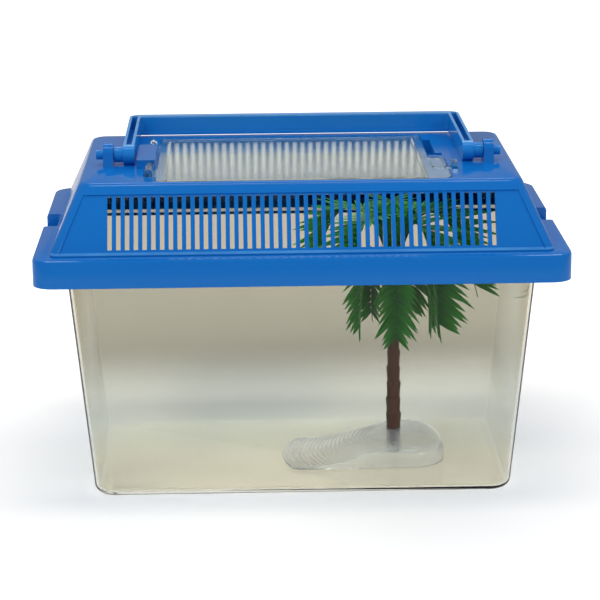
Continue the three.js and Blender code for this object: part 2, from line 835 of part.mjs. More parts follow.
// Flat outline of a frond: a midrib with pointed leaflets swept towards the tip
function frondOutline(length) {
  const stem = length * frondStemShare;
  const leaflets = Math.floor((length - stem) / leafletPitch);
  const side = [[0, ribHalfWidth]];
  for (let leaflet = 0; leaflet < leaflets; leaflet += 1) {
    const place = (leaflet / (leaflets - 1)) * (leafletSizeShares.length - 1);
    const before = Math.min(Math.floor(place), leafletSizeShares.length - 2);
    const [less, more] = leafletSizeShares.slice(before, before + 2);
    const reach = leafletReach * THREE.MathUtils.lerp(less, more, place - before);
    const root = stem + leaflet * leafletPitch;
    side.push([root, ribHalfWidth]);
    const lean = leafletPitch * leafletLeanShare;
    side.push([root + reach * leafletSweepShare + lean, ribHalfWidth + reach]);
    side.push([root + leafletPitch * leafletBladeShare, ribHalfWidth]);
  }
  side.push([length, ribHalfWidth / 2]);
  const right = side.map(([along, out]) => new THREE.Vector2(along, -out));
  const left = side.map(([along, out]) => new THREE.Vector2(along, out)).reverse();
  return new THREE.Shape([...right, ...left]);
}

// A frond bent along its midrib and folded down to both sides
function frondSolid(run, azimuth) {
  const length = run.getLength();
  const geometry = new THREE.ExtrudeGeometry(frondOutline(length), {
    depth: frondThickness, bevelEnabled: false, steps: 1,
  });
  const place = geometry.attributes.position;
  for (let i = 0; i < place.count; i += 1) {
    const along = place.getX(i);
    const out = place.getY(i);
    const share = THREE.MathUtils.clamp(along / length, 0, 1);
    const rib = run.getPointAt(share);
    const tangent = run.getTangentAt(share);
    const past = along - share * length;
    const lift = place.getZ(i) - leafletFoldShare * Math.abs(out);
    place.setXYZ(i, rib.x + tangent.x * past - tangent.y * lift, out,
      rib.y + tangent.y * past + tangent.x * lift);
  }
  geometry.rotateZ(azimuth);
  geometry.translate(palmPlace, palmBack, 0);
  return toSolid(geometry);
}

function whorlSolid(spec) {
  const fronds = spec.tips.map((tip, i) => {
    const points = [[frondRootShare * collarRadius, 0], ...spec.run, tip].map(([out, up], k) => {
      const reach = k === 0 ? out : out * spec.reach;
      return new THREE.Vector2(reach, spec.collar + collarHeight / 2 + up * spec.rise);
    });
    const azimuth = THREE.MathUtils.degToRad(spec.turn + (i * 360) / spec.count);
    return frondSolid(new THREE.CubicBezierCurve(...points), azimuth);
  });
  const collar = rodUp(collarRadius, spec.collar, spec.collar + collarHeight,
    palmPlace, palmBack, collarSides);
  const hole = rodUp(spindleRadius + bearingGap, spec.collar - overrun,
    spec.collar + collarHeight + overrun, palmPlace, palmBack, collarSides);
  return joined([collar, ...fronds]).subtract(hole);
}

function upperWhorl() {
  return whorlSolid({
    count: upperFronds, reach: upperReach, rise: upperRise, run: upperRunShares,
    tips: upperTipShares, turn: upperTurn, collar: upperCollar,
  });
}

function lowerWhorl() {
  return whorlSolid({
    count: lowerFronds, reach: lowerReach, rise: lowerDrop, run: lowerRunShares,
    tips: lowerTipShares, turn: lowerTurn, collar: lowerCollar,
  });
}

// The object: basin with the island and palm in it, and the lid with its handle and door
const group = new THREE.Group();
const lid = new THREE.Group();
const palm = new THREE.Group();
const island = new THREE.Group();
lid.add(finished('lid_shell', lidSolid(), bluePlastic()));
lid.add(finished('feeding_door', doorSolid(), clearPlastic()));
lid.add(finished('carry_handle', handleSolid(), bluePlastic()));
palm.add(finished('palm_trunk', trunkSolid(), trunkPlastic()));
palm.add(finished('lower_frond_whorl', lowerWhorl(), leafPlastic()));
palm.add(finished('upper_frond_whorl', upperWhorl(), leafPlastic()));
palm.add(finished('crown_spike', spikeSolid(), trunkPlastic()));
island.add(finished('island_ramp', islandSolid(), clearPlastic()));
island.add(palm);
group.add(finished('tank_basin', basinSolid(), clearPlastic()));
group.add(island);
group.add(lid);

export default group;
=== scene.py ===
import math
import random

import bmesh
import bpy
from mathutils import Matrix, Vector


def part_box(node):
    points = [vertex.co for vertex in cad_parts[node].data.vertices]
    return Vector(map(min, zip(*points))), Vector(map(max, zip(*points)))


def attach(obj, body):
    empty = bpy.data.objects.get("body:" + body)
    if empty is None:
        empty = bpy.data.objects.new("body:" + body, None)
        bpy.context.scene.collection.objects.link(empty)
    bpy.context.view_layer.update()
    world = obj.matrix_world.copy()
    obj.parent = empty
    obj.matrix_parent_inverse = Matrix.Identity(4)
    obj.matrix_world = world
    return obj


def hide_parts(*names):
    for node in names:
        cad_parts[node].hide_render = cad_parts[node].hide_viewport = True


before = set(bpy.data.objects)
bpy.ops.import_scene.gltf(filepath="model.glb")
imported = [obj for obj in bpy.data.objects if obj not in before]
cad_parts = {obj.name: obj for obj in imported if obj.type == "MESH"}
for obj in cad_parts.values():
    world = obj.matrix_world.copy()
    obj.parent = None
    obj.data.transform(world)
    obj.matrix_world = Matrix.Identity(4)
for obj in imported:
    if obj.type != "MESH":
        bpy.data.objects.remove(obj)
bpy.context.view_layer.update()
mm = 0.001
weld = 0.002 * mm  # corners of a mesh closer than this become one
print("frame loaded")


# a solid's lowest and highest corner in the frame, in millimetres
def boxOf(node):
    return [[round(value / mm, 3) for value in corner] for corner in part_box(node)]


# small helpers for node trees
def newMaterial(name):
    material = bpy.data.materials.new(name)
    material.use_nodes = True
    tree = material.node_tree
    tree.nodes.clear()
    output = tree.nodes.new("ShaderNodeOutputMaterial")
    return material, tree, output


def addNode(tree, kind, values=None, **settings):
    node = tree.nodes.new(kind)
    for key, value in settings.items():
        setattr(node, key, value)
    for socket, value in (values or {}).items():
        node.inputs[socket].default_value = value
    return node


def link(tree, fromNode, fromSocket, toNode, toSocket):
    tree.links.new(fromNode.outputs[fromSocket], toNode.inputs[toSocket])


def addNoise(tree, source, socket, scale, detail, roughness):
    values = {"Scale": scale, "Detail": detail, "Roughness": roughness}
    noise = addNode(tree, "ShaderNodeTexNoise", values)
    link(tree, source, socket, noise, "Vector")
    return noise


def addRange(tree, source, socket, fromSpan=(0.0, 1.0), toSpan=(0.0, 1.0), curve="LINEAR"):
    values = {"From Min": fromSpan[0], "From Max": fromSpan[1], "To Min": toSpan[0], "To Max": toSpan[1]}
    span = addNode(tree, "ShaderNodeMapRange", values, interpolation_type=curve)
    link(tree, source, socket, span, 0)
    return span


def addProduct(tree, first, firstSocket, second, secondSocket):
    product = addNode(tree, "ShaderNodeMath", operation="MULTIPLY", use_clamp=True)
    link(tree, first, firstSocket, product, 0)
    link(tree, second, secondSocket, product, 1)
    return product


def mixColours(tree, share, first, second, socket=0):
    mix = addNode(tree, "ShaderNodeMix", data_type="RGBA")
    link(tree, share, socket, mix, "Factor")
    for side, colour in (("A", first), ("B", second)):
        if isinstance(colour, tuple):
            mix.inputs[side].default_value = colour
        else:
            link(tree, colour, "Result", mix, side)
    return mix


def addBump(tree, source, socket, strength, distance):
    bump = addNode(tree, "ShaderNodeBump", {"Strength": strength, "Distance": distance})
    link(tree, source, socket, bump, "Height")
    return bump


def startGroup(name, inputs, outputs):
    group = bpy.data.node_groups.new(name, "ShaderNodeTree")
    for key, value in inputs.items():
        socket = group.interface.new_socket(name=key, in_out="INPUT", socket_type="NodeSocketFloat")
        socket.default_value = value
    for key in outputs:
        group.interface.new_socket(name=key, in_out="OUTPUT", socket_type="NodeSocketFloat")
    return group, group.nodes.new("NodeGroupInput"), group.nodes.new("NodeGroupOutput")


marksLook = {
    "haze": 18.0, "hazeSpan": (0.45, 0.75),
    "specks": 420.0, "speckSpan": (0.62, 0.72), "speckShare": 0.5,
}


# fine scuffs and dust that dull a gloss moulding, as a mask and a height
def handlingGroup():
    look = marksLook
    group, start, end = startGroup("handlingMarks", {"Scale": 1.0, "Amount": 1.0}, ("Mask", "Height"))
    place = addNode(group, "ShaderNodeTexCoord")
    scaled = addNode(group, "ShaderNodeVectorMath", operation="SCALE")
    link(group, place, "Object", scaled, 0)
    link(group, start, "Scale", scaled, "Scale")
    haze = addNoise(group, scaled, 0, look["haze"], detail=4.0, roughness=0.6)
    specks = addNoise(group, scaled, 0, look["specks"], detail=2.0, roughness=0.5)
    soft = addRange(group, haze, 0, look["hazeSpan"])
    sharp = addRange(group, specks, 0, look["speckSpan"])
    faint = addNode(group, "ShaderNodeMath", {1: look["speckShare"]}, operation="MULTIPLY")
    link(group, sharp, 0, faint, 0)
    both = addNode(group, "ShaderNodeMath", operation="ADD")
    link(group, soft, 0, both, 0)
    link(group, faint, 0, both, 1)
    marks = addProduct(group, both, 0, start, "Amount")
    link(group, marks, 0, end, "Mask")
    link(group, haze, 0, end, "Height")
    return group


# a band between two heights painted pale as a highlight along the edges, broken up by a little noise
def paintedHighlightGroup():
    inputs = {"Low": 0.0, "High": 0.001, "Soft": 0.0004}
    group, start, end = startGroup("paintedHighlightBand", inputs, ("Mask",))
    place = addNode(group, "ShaderNodeTexCoord")
    apart = addNode(group, "ShaderNodeSeparateXYZ")
    link(group, place, "Object", apart, 0)
    shares = []
    for first, second in (("Z", "Low"), ("High", "Z")):
        gap = addNode(group, "ShaderNodeMath", operation="SUBTRACT")
        for socket, source in ((0, first), (1, second)):
            link(group, apart if source == "Z" else start, source, gap, socket)
        share = addNode(group, "ShaderNodeMath", operation="DIVIDE", use_clamp=True)
        link(group, gap, 0, share, 0)
        link(group, start, "Soft", share, 1)
        shares.append(share)
    band = addProduct(group, shares[0], 0, shares[1], 0)
    patchy = addNoise(group, place, "Object", scale=30.0, detail=3.0, roughness=0.6)
    link(group, addProduct(group, band, 0, patchy, 0), 0, end, "Mask")
    return group


handlingMarks = handlingGroup()
paintedHighlightBand = paintedHighlightGroup()


# handling marks dull the surface from its gloss to a satin
def addHandling(tree, look):
    marks = addNode(tree, "ShaderNodeGroup", node_tree=handlingMarks)
    marks.inputs["Amount"].default_value = look["marks"]
    return marks, addRange(tree, marks, "Mask", toSpan=(look["gloss"], look["dull"]))


# lamps pass through a wall with its tint, and everything else meets the plastic
def lampsThrough(tree, shader, tint, output):
    through = addNode(tree, "ShaderNodeBsdfTransparent", {"Color": tint})
    path = addNode(tree, "ShaderNodeLightPath")
    mix = addNode(tree, "ShaderNodeMixShader")
    link(tree, path, "Is Shadow Ray", mix, 0)
    link(tree, shader, 0, mix, 1)
    link(tree, through, 0, mix, 2)
    link(tree, mix, 0, output, 0)


lidLook = {
    "name": "blueMoulding", "colour": (0.004, 0.158, 0.540, 1.0), "deepColour": (0.003, 0.136, 0.490, 1.0),
    "gloss": 0.13, "dull": 0.26, "marks": 0.5, "mirror": 0.22,
    "leak": (0.28, 0.42, 0.58, 1.0),  # lamp light that soaks through each face of the thin walls
    "flow": 7.0,  # faint flow of colour in the moulding
    "wave": 0.35 * mm,
    # painted highlight: a pale line round the lid at the foot of its slopes
    "paintedHighlight": (148.0 * mm, 149.6 * mm, 0.3 * mm),  # from, to and how softly, up the piece
    "paintedHighlightColour": (0.10, 0.38, 0.78, 1.0),
}
# the handle's blue is a lighter copy of the lid's, painted light that brightens the grip where it lies in
# shade; its pale band along the top of the grip is a painted highlight
handleLook = {
    "name": "blueHandle", "colour": (0.012, 0.220, 0.640, 1.0), "deepColour": (0.007, 0.180, 0.560, 1.0),
    "gloss": 0.13, "dull": 0.26, "marks": 0.5, "mirror": 0.24, "leak": (0.28, 0.42, 0.58, 1.0),
    "flow": 7.0, "wave": 0.35 * mm,
    "paintedHighlight": (195.2 * mm, 198.0 * mm, 0.5 * mm), "paintedHighlightColour": (0.18, 0.46, 0.82, 1.0),
}


def bluePlastic(look):
    material, tree, output = newMaterial(look["name"])
    place = addNode(tree, "ShaderNodeTexCoord")
    flow = addNoise(tree, place, "Object", look["flow"], detail=3.0, roughness=0.5)
    colour = mixColours(tree, flow, look["deepColour"], look["colour"])
    # a pale band between two heights is painted into the colour as a highlight along the edges
    low, high, soft = look["paintedHighlight"]
    paintedHighlight = addNode(tree, "ShaderNodeGroup", node_tree=paintedHighlightBand)
    for socket, value in (("Low", low), ("High", high), ("Soft", soft)):
        paintedHighlight.inputs[socket].default_value = value
    colour = mixColours(tree, paintedHighlight, colour, look["paintedHighlightColour"])
    marks, rough = addHandling(tree, look)
    bump = addBump(tree, marks, "Height", strength=0.25, distance=look["wave"])
    shader = addNode(tree, "ShaderNodeBsdfPrincipled", {"IOR": 1.5, "Specular IOR Level": look["mirror"]})
    link(tree, colour, "Result", shader, "Base Color")
    link(tree, rough, 0, shader, "Roughness")
    link(tree, bump, 0, shader, "Normal")
    lampsThrough(tree, shader, look["leak"], output)
    return material


# share that rises from one place to another along an axis of the piece, X counted outwards
def riseAlong(tree, place, axis, span):
    apart = addNode(tree, "ShaderNodeSeparateXYZ")
    link(tree, place, "Object", apart, 0)
    if axis != "X":
        return addRange(tree, apart, axis, span, curve="SMOOTHSTEP")
    outwards = addNode(tree, "ShaderNodeMath", operation="ABSOLUTE")
    link(tree, apart, axis, outwards, 0)
    return addRange(tree, outwards, 0, span, curve="SMOOTHSTEP")


basinLook = {
    "name": "clearBasin", "ior": 1.20, "flow": 9.0, "ripple": 0.15, "marks": 0.25,
    "tint": (0.77, 0.81, 0.79, 1.0), "paleTint": (0.81, 0.85, 0.83, 1.0),
    # the tint grows darker and warmer at the end walls; it is darker towards the back and the top and paler
    # at the floor, which is painted shade of the lid and the room behind
    "shifts": (
        ("X", (119 * mm, 129 * mm), (0.60, 0.575, 0.49, 1.0)),  # warmer at the end walls
        ("Y", (-60 * mm, 85 * mm), (0.385, 0.348, 0.272, 1.0)),  # and warmest at the back
        ("Z", (52 * mm, 12 * mm), (0.83, 0.81, 0.73, 1.0)),  # paler down at the floor
    ),
    "gloss": 0.015, "dull": 0.06, "shade": (0.96, 0.96, 0.94, 1.0),
}
doorLook = {
    "name": "clearDoor", "ior": 1.30, "flow": 11.0, "ripple": 0.15, "marks": 0.3,
    "tint": (0.72, 0.78, 0.69, 1.0), "paleTint": (0.78, 0.84, 0.75, 1.0),
    "gloss": 0.10, "dull": 0.18, "shade": (0.95, 0.95, 0.93, 1.0),
}
islandLook = {
    "name": "clearIsland", "ior": 1.28, "clear": 0.86, "flow": 40.0, "ripple": 0.2, "marks": 0.2,
    "tint": (0.90, 0.93, 0.98, 1.0), "paleTint": (0.96, 0.98, 1.0, 1.0),
    "gloss": 0.03, "dull": 0.08, "shade": (0.98, 0.98, 0.98, 1.0), "coat": 1.0,
}
rippleDepth = 0.4 * mm


# clear mouldings let the lamps through
def clearPlastic(look):
    material, tree, output = newMaterial(look["name"])
    place = addNode(tree, "ShaderNodeTexCoord")
    flow = addNoise(tree, place, "Object", look["flow"], detail=2.0, roughness=0.5)
    colour = mixColours(tree, flow, look["tint"], look["paleTint"])
    for axis, span, tint in look.get("shifts", ()):
        colour = mixColours(tree, riseAlong(tree, place, axis, span), colour, tint)
    rough = addHandling(tree, look)[1]
    bump = addBump(tree, flow, 0, look["ripple"], rippleDepth)
    shader = addNode(tree, "ShaderNodeBsdfPrincipled", {
        "IOR": look["ior"],
        "Transmission Weight": look.get("clear", 1.0), "Coat Weight": look.get("coat", 0.0),
    })
    link(tree, colour, "Result", shader, "Base Color")
    link(tree, rough, 0, shader, "Roughness")
    link(tree, bump, 0, shader, "Normal")
    lampsThrough(tree, shader, look["shade"], output)
    return material


leafLook = {
    "colour": (0.011, 0.130, 0.010, 1.0), "tipColour": (0.038, 0.240, 0.020, 1.0),
    "rootColour": (0.002, 0.024, 0.004, 1.0), "gloss": 0.40, "mirror": 0.18,
    "blotch": 60.0, "grain": 0.3 * mm,
}
trunkLook = {
    "colour": (0.150, 0.054, 0.029, 1.0), "darkColour": (0.040, 0.015, 0.009, 1.0),
    "gloss": 0.45, "mirror": 0.25, "fibre": 900.0, "grain": 0.3 * mm,
    "stretch": (1.0, 1.0, 0.25),  # fibres run up the trunk
}


# dull plastic of the palm: one colour map, one bump, plain gloss
def palmPlastic(tree, output, look, colour, bump):
    shader = addNode(tree, "ShaderNodeBsdfPrincipled", {
        "IOR": 1.47, "Roughness": look["gloss"], "Specular IOR Level": look["mirror"],
    })
    link(tree, colour, "Result", shader, "Base Color")
    link(tree, bump, 0, shader, "Normal")
    link(tree, shader, 0, output, 0)


def leafPlastic():
    look = leafLook
    material, tree, output = newMaterial("greenLeaf")
    place = addNode(tree, "ShaderNodeTexCoord")
    blotch = addNoise(tree, place, "Object", look["blotch"], detail=3.0, roughness=0.6)
    along = addNode(tree, "ShaderNodeAttribute", attribute_name="bladeShare")
    body = mixColours(tree, blotch, look["rootColour"], look["colour"])
    colour = mixColours(tree, along, body, look["tipColour"], "Fac")
    bump = addBump(tree, blotch, 0, strength=0.3, distance=look["grain"])
    palmPlastic(tree, output, look, colour, bump)
    return material


def trunkPlastic():
    look = trunkLook
    material, tree, output = newMaterial("brownTrunk")
    place = addNode(tree, "ShaderNodeTexCoord")
    stretch = addNode(tree, "ShaderNodeMapping", {"Scale": look["stretch"]})
    link(tree, place, "Object", stretch, 0)
    fibre = addNoise(tree, stretch, 0, look["fibre"], detail=3.0, roughness=0.65)
    colour = mixColours(tree, fibre, look["darkColour"], look["colour"])
    bump = addBump(tree, fibre, 0, strength=0.5, distance=look["grain"])
    palmPlastic(tree, output, look, colour, bump)
    return material


blueMoulding = bluePlastic(lidLook)
blueHandle = bluePlastic(handleLook)
clearBasin = clearPlastic(basinLook)
clearDoor = clearPlastic(doorLook)
clearIsland = clearPlastic(islandLook)
greenLeaf = leafPlastic()
brownTrunk = trunkPlastic()
print("materials made")


# pieces
def finishPiece(name, bm, material, body, node):
    mesh = bpy.data.meshes.new(name)
    bm.to_mesh(mesh)
    bm.free()
    piece = bpy.data.objects.new(name, mesh)
    bpy.context.scene.collection.objects.link(piece)
    mesh.materials.append(material)
    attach(piece, body)
    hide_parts(node)
    return piece


# smooth faces, with sharp lines where they meet at more than the angle
def shadeSmooth(bm, degrees):
    for face in bm.faces:
        face.smooth = True
    for edge in bm.edges:
        edge.smooth = edge.calc_face_angle(0.0) < math.radians(degrees)


softEdges = {"flat": 0.5, "sharp": 28, "bevelled": 30, "segments": 2}  # angles in degrees, and steps
mouldings = {
    "lidMoulding": {
        "node": "lid_shell", "material": blueMoulding, "body": "lid", "slot": "blue_lid",
        "edge": 0.35 * mm,
    },
    "handleMoulding": {
        "node": "carry_handle", "material": blueHandle, "body": "handle", "slot": "blue_handle",
        "edge": 0.5 * mm,
    },
    "doorMoulding": {
        "node": "feeding_door", "material": clearDoor, "body": "door", "slot": "clear_door",
        "edge": 0.3 * mm,
    },
    "basinMoulding": {
        "node": "tank_basin", "material": clearBasin, "body": "tank", "slot": "clear_basin",
        "edge": 0.4 * mm,
    },
}


# a moulding with its true outline, welded from the frame's solid and given soft edges
def mouldedPiece(name, spec):
    look = softEdges
    bm = bmesh.new()
    bm.from_mesh(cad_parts[spec["node"]].data)
    bmesh.ops.remove_doubles(bm, verts=bm.verts, dist=weld)
    bmesh.ops.dissolve_limit(bm, angle_limit=math.radians(look["flat"]), verts=bm.verts, edges=bm.edges)
    shadeSmooth(bm, look["sharp"])
    piece = finishPiece(name, bm, spec["material"], spec["body"], spec["node"])
    soft = piece.modifiers.new("softEdge", "BEVEL")
    soft.width = spec["edge"]
    soft.segments = look["segments"]
    soft.limit_method = "ANGLE"
    soft.angle_limit = math.radians(look["bevelled"])
    soft.harden_normals = True


for mouldingName, mouldingSpec in mouldings.items():
    mouldedPiece(mouldingName, mouldingSpec)
print("mouldings made")

# the frame's boxes of the island and the trunk in millimetres, and where the palm stands in metres
islandLow, islandHigh = boxOf("island_ramp")
trunkLow, trunkHigh = boxOf("palm_trunk")
palmPlace = [(trunkLow[axis] + trunkHigh[axis]) / 2 * mm for axis in (0, 1)]
rampBack = 25  # back edge of the ramp, in millimetres as the boxes are

# island: a clear shell with a ridged ramp, rounded rims and a boss for the palm's peg
islandShape = {
    "left": islandLow[0] * mm, "right": islandHigh[0] * mm, "front": islandLow[1] * mm,
    "rampBack": rampBack * mm, "rampCorner": 12 * mm,
    "padLeft": 40 * mm, "padBack": islandHigh[1] * mm, "padCorner": 22 * mm,
    "centre": (palmPlace[0], (islandLow[1] + rampBack) / 2 * mm),
    "foot": islandLow[2] * mm, "height": (islandHigh[2] - islandLow[2]) * mm,
    "toe": 1.2 * mm, "reach": 29 * mm, "slopeShare": 0.25, "power": 4, "ease": 0.15, "blend": 10 * mm,
    "rim": 3.2 * mm, "rimShare": 0.8, "rimClear": 0.1, "wall": 1.6 * mm, "wallEase": 0.8 * mm,
    "ridges": 15, "ridge": 0.7 * mm, "padRidge": 0.7, "ridgeReach": 13 * mm,
    "ridgeEase": 5 * mm, "ridgeFade": 12 * mm, "ripple": 0.12 * mm, "ripplePitch": 2.4 * mm,
    "bore": 2.6 * mm, "boss": 5 * mm, "bossGap": 0.05 * mm, "bossSides": 32,
    "across": 300, "deep": 64, "crowding": 0.9, "halvings": 30, "weld": 0.001 * mm, "sharp": 50,
}


def insideBox(x, y, left, right, front, back, corner):
    across = abs(x - (left + right) / 2) - (right - left) / 2 + corner
    deep = abs(y - (front + back) / 2) - (back - front) / 2 + corner
    return corner - math.hypot(max(across, 0.0), max(deep, 0.0)) - min(max(across, deep), 0.0)


# how far a place lies inside the outline of ramp and pad
def insideIsland(x, y):
    look = islandShape
    rampRight = look["padLeft"] + look["padCorner"] + look["rampCorner"]
    ramp = insideBox(x, y, look["left"], rampRight, look["front"], look["rampBack"], look["rampCorner"])
    toe = look["centre"][0] - look["left"] - math.hypot(x - look["centre"][0], y - look["centre"][1])
    pad = insideBox(x, y, look["padLeft"], look["right"], look["front"], look["padBack"], look["padCorner"])
    return max(min(ramp, toe), pad), pad


def outlineFrom(x, near, far):
    for _ in range(islandShape["halvings"]):
        middle = (near + far) / 2
        if insideIsland(x, middle)[0] >= 0.0:
            near = middle
        else:
            far = middle
    return near


def smoothShare(value):
    value = min(max(value, 0.0), 1.0)
    return value * value * (3.0 - 2.0 * value)


def waveShare(turns):
    return 0.5 - 0.5 * math.cos(math.tau * turns)


# height of the island's top, the same without rim and ridges, and how far inside its outline it is
def islandTop(x, y):
    look = islandShape
    depth, pad = insideIsland(x, y)
    centre = look["centre"]
    away = math.hypot(x - centre[0], y - centre[1])
    past = (away - look["reach"]) / (centre[0] - look["left"] - look["reach"])
    climb = max(1.0 - (past + math.hypot(past, look["ease"])) / 2, 0.0)
    climb = look["slopeShare"] * climb + (1.0 - look["slopeShare"]) * climb ** look["power"]
    plain = look["toe"] + (look["height"] - look["toe"]) * climb
    plain += (look["height"] - plain) * smoothShare(pad / look["blend"])
    rim = min(look["rim"], look["rimShare"] * plain)
    short = max(rim - depth, 0.0)
    top = plain - rim + math.sqrt(max(rim ** 2 - short ** 2, 0.0))
    clear = smoothShare(depth / look["rim"] - look["rimClear"])
    ridged = smoothShare((away - look["ridgeReach"]) / look["ridgeEase"])
    ridged *= smoothShare((centre[0] - x) / look["ridgeFade"])
    ridge = look["ridge"] * (1.0 if away > look["reach"] else look["padRidge"])
    top -= ridge * clear * ridged * waveShare(look["ridges"] * past)
    fromPeg = math.hypot(x - palmPlace[0], y - palmPlace[1])
    top -= look["ripple"] * clear * (1.0 - ridged) * waveShare(fromPeg / look["ripplePitch"])
    return top, plain, depth


# front and back of the island at a share of its length, crowded towards its ends
def islandLimits(share):
    look = islandShape
    eased = share - look["crowding"] * math.sin(math.tau * share) / math.tau
    x = look["left"] + (look["right"] - look["left"]) * eased
    start = look["centre"][1]
    return x, outlineFrom(x, start, look["front"] - mm), outlineFrom(x, start, look["padBack"] + mm)


# upper and lower skins are bent from two grids and joined by the side wall
def islandPiece():
    look = islandShape
    bm = bmesh.new()
    limits = {}
    for skin in ("upper", "lower"):
        grid = bmesh.ops.create_grid(bm, x_segments=look["across"], y_segments=look["deep"], size=0.5)
        for vert in grid["verts"]:
            share, across = vert.co.x + 0.5, vert.co.y
            column = round(share, 5)  # vertices across the island have one column
            if column not in limits:
                limits[column] = islandLimits(share)
            x, front, back = limits[column]
            y = (front + back) / 2 + (back - front) / 2 * math.sin(math.pi * across)
            top, plain, depth = islandTop(x, y)
            if skin == "lower":
                top = max(plain - look["wall"], 0.0) * smoothShare((depth - look["wall"]) / look["wallEase"])
            vert.co = Vector((x, y, look["foot"] + top))
        if skin == "upper":
            rim = [edge for edge in bm.edges if edge.is_boundary]
            wall = bmesh.ops.extrude_edge_only(bm, edges=rim)["geom"]
            for vert in (part for part in wall if isinstance(part, bmesh.types.BMVert)):
                vert.co.z = look["foot"]
    bmesh.ops.remove_doubles(bm, verts=bm.verts, dist=look["weld"])
    bmesh.ops.recalc_face_normals(bm, faces=bm.faces)
    addBoss(bm)
    shadeSmooth(bm, look["sharp"])
    finishPiece("islandMoulding", bm, clearIsland, "island", "island_ramp")


# an outline of places out from the palm's axis and up, turned round that axis
def spinOutline(bm, outline, steps, closed):
    x, y = palmPlace
    verts = [bm.verts.new((x + out, y, up)) for out, up in outline]
    ends = verts[1:] + verts[:1] if closed else verts[1:]
    lines = [bm.edges.new(pair) for pair in zip(verts, ends)]
    bmesh.ops.spin(bm, geom=verts + lines, cent=(x, y, 0.0), axis=(0.0, 0.0, 1.0), angle=math.tau,
                   steps=steps, use_merge=True)


def addBoss(bm):
    look = islandShape
    low, high = look["foot"], look["foot"] + look["height"] - look["wall"] - look["bossGap"]
    outline = [(look["bore"], low), (look["boss"], low), (look["boss"], high), (look["bore"], high)]
    shell = set(bm.faces)  # these face outwards already
    spinOutline(bm, outline, look["bossSides"], closed=True)
    boss = [face for face in bm.faces if face not in shell]
    bmesh.ops.recalc_face_normals(bm, faces=boss)


islandPiece()
print("island made")

# palm: two whorls of fronds, each of creased leaflets on a curved midrib
palmLook = {
    "collarRadius": 4.6 * mm, "collarHeight": 3 * mm, "collarEdge": 0.4 * mm, "collarSides": 24,
    "seat": 0.3 * mm,  # between the pieces that stand on each other
    "bore": 1.8 * mm, "rootShare": 0.78, "stemShare": 0.13, "lastRootShare": 0.94,
    "leafletHalfWidth": 2.6 * mm, "thickness": 0.45 * mm, "crease": 0.34,
    "sweep": 0.85, "seed": 5, "uneven": 0.16,
    "ribRadius": 0.75 * mm, "ribTaper": 0.65, "ribSides": 6, "ribSteps": 24, "ribShade": 0.05,
    "ceiling": 151.5 * mm, "easing": 6 * mm,  # no leaf stands higher, so the island can rise under the lid
    "sizes": (0.6, 0.9, 1.0, 1.0, 0.95, 0.8, 0.55), "curveSteps": 200, "sharp": 50,
}
# one leaflet: its width as shares of the half width, and how it droops and leans towards its tip
bladeShape = {
    "along": 5, "across": 2, "rootWidth": 0.62, "widening": 1.1, "widestAt": 0.35, "taper": 2.4,
    "roundness": 0.75, "leastWidth": 0.06 * mm, "rootInset": 0.4,
    "droop": 0.75, "tipDroop": 0.35, "lean": 0.8, "tipLean": 0.5,
}
spikeFoot = boxOf("crown_spike")[0][2] * mm
collarStep = palmLook["seat"] + palmLook["collarHeight"]
upperWhorl = {
    "collar": spikeFoot - collarStep, "reach": 53 * mm, "rise": 38 * mm, "turn": 18,
    "run": ((0.19, 0.9), (0.66, 1.35)), "leafletReach": 14.5 * mm, "fold": 1.05, "pitch": 3.5 * mm,
    "tips": ((1.04, -0.70), (0.78, 0.2), (0.88, 0.02), (0.9, 0.1), (0.80, -1.0)),
}
lowerWhorl = {
    "collar": spikeFoot - 2 * collarStep, "reach": 22 * mm, "rise": 44 * mm, "turn": -90,
    "run": ((0.56, 0.3), (1.05, 0.2)), "leafletReach": 12.3 * mm, "fold": 0.30, "pitch": 3.9 * mm,
    "tips": ((0.95, -1.0), (1.0, -0.9), (0.9, -0.8), (0.92, -0.86), (0.98, -0.94)),
}


def curvePoint(run, share):
    a, b, c, d = run
    rest = 1.0 - share
    return a * rest ** 3 + b * (3 * rest ** 2 * share) + c * (3 * rest * share ** 2) + d * share ** 3


# places along a midrib at even lengths, each with its direction
def evenStations(run, count):
    steps = palmLook["curveSteps"]
    fine = [curvePoint(run, step / steps) for step in range(steps + 1)]
    lengths = [0.0]
    for before, after in zip(fine, fine[1:]):
        lengths.append(lengths[-1] + (after - before).length)
    stations = []
    for step in range(count + 1):
        goal = lengths[-1] * step / count
        k = min(max(i for i, length in enumerate(lengths) if length <= goal), steps - 1)
        part = (goal - lengths[k]) / (lengths[k + 1] - lengths[k])
        stations.append((fine[k].lerp(fine[k + 1], part), (fine[k + 1] - fine[k]).normalized()))
    return stations, lengths[-1]


def stationAt(stations, share):
    place = min(max(share, 0.0), 1.0) * (len(stations) - 1)
    k = min(int(place), len(stations) - 2)
    spot = stations[k][0].lerp(stations[k + 1][0], place - k)
    return spot, stations[k][1].lerp(stations[k + 1][1], place - k).normalized()


sideways = Vector((0.0, 1.0, 0.0))  # a frond is made along X, then turned to its place


# a tube rolled from a grid round the midrib, thinner towards the tip
def addMidrib(bm, stations, share):
    look = palmLook
    grid = bmesh.ops.create_grid(bm, x_segments=look["ribSteps"], y_segments=look["ribSides"], size=0.5)
    for vert in grid["verts"]:
        along = vert.co.x + 0.5
        around = math.tau * (vert.co.y + 0.5)
        spot, ahead = stationAt(stations, along)
        radius = look["ribRadius"] * (1.0 - look["ribTaper"] * along)
        up = sideways.cross(ahead)
        vert.co = spot + (sideways * math.cos(around) + up * math.sin(around)) * radius
        vert[share] = look["ribShade"]
    return grid["verts"]


